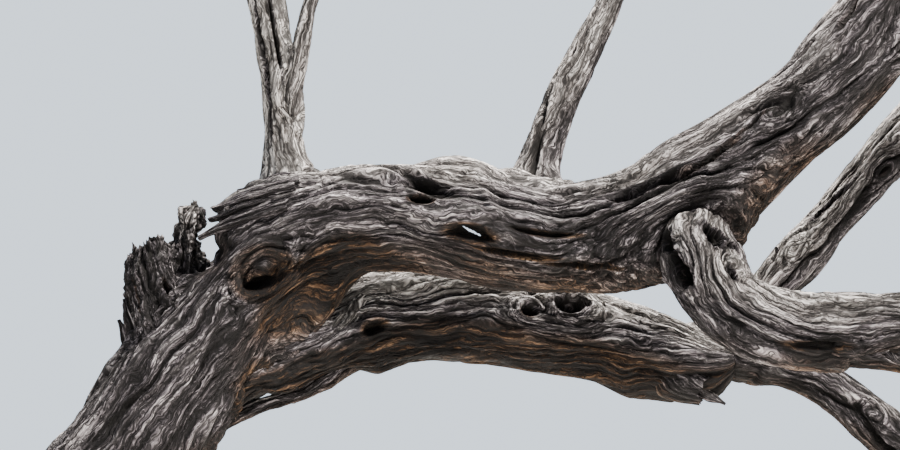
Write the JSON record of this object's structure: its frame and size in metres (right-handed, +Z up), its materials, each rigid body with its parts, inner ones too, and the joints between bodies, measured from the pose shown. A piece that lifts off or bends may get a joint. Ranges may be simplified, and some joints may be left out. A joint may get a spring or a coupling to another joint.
{
  "type": "dead tree",
  "caption": "Bare, weathered dead savanna tree: a leaning trunk with root flare that splits into arching, twisted boughs and ends in bare twigs.",
  "frame": {"origin": "middle of the flat cut under the trunk, at ground level", "axes": "+Z up, +X to the right of the viewer towards the crown, -Y towards the viewer"},
  "size_m": [4.8989, 2.898, 5.0641],
  "materials": {
    "weathered_wood": "bark-less silver-grey wood, deeply cracked along the grain",
    "bare_twigs": "dry bare grey twigs"
  },
  "bodies": {
    "root": {"trunk": "weathered_wood", "upper_bough": "weathered_wood", "rising_bough": "weathered_wood", "lower_bough": "weathered_wood", "twisted_bough": "weathered_wood", "curling_bough": "weathered_wood", "back_bough": "weathered_wood", "back_fork": "weathered_wood", "back_side": "weathered_wood", "drooping_bough": "weathered_wood", "front_bough": "weathered_wood", "gnarled_knob": "weathered_wood", "high_bough": "weathered_wood", "hollow_stub": "weathered_wood", "left_stem": "weathered_wood", "low_fork": "weathered_wood", "outer_bough": "weathered_wood", "outer_side": "weathered_wood", "right_stem": "weathered_wood", "snapped_prong": "weathered_wood", "snapped_shoulder": "weathered_wood", "snapped_stub": "weathered_wood", "stem_back": "weathered_wood", "stem_side": "weathered_wood", "twigs_back": "bare_twigs", "twigs_back_fork": "bare_twigs", "twigs_back_side": "bare_twigs", "twigs_curling": "bare_twigs", "twigs_drooping": "bare_twigs", "twigs_front": "bare_twigs", "twigs_high": "bare_twigs", "twigs_left_stem": "bare_twigs", "twigs_low_fork": "bare_twigs", "twigs_outer": "bare_twigs", "twigs_outer_side": "bare_twigs", "twigs_right_stem": "bare_twigs", "twigs_stem_back": "bare_twigs", "twigs_stem_side": "bare_twigs", "twigs_top": "bare_twigs", "twigs_upright": "bare_twigs", "twigs_upright_fork": "bare_twigs", "twigs_upright_side": "bare_twigs", "underside_strip": "weathered_wood", "upright_bough": "weathered_wood", "upright_fork": "weathered_wood", "upright_side": "weathered_wood"}
  },
  "joints": []
}
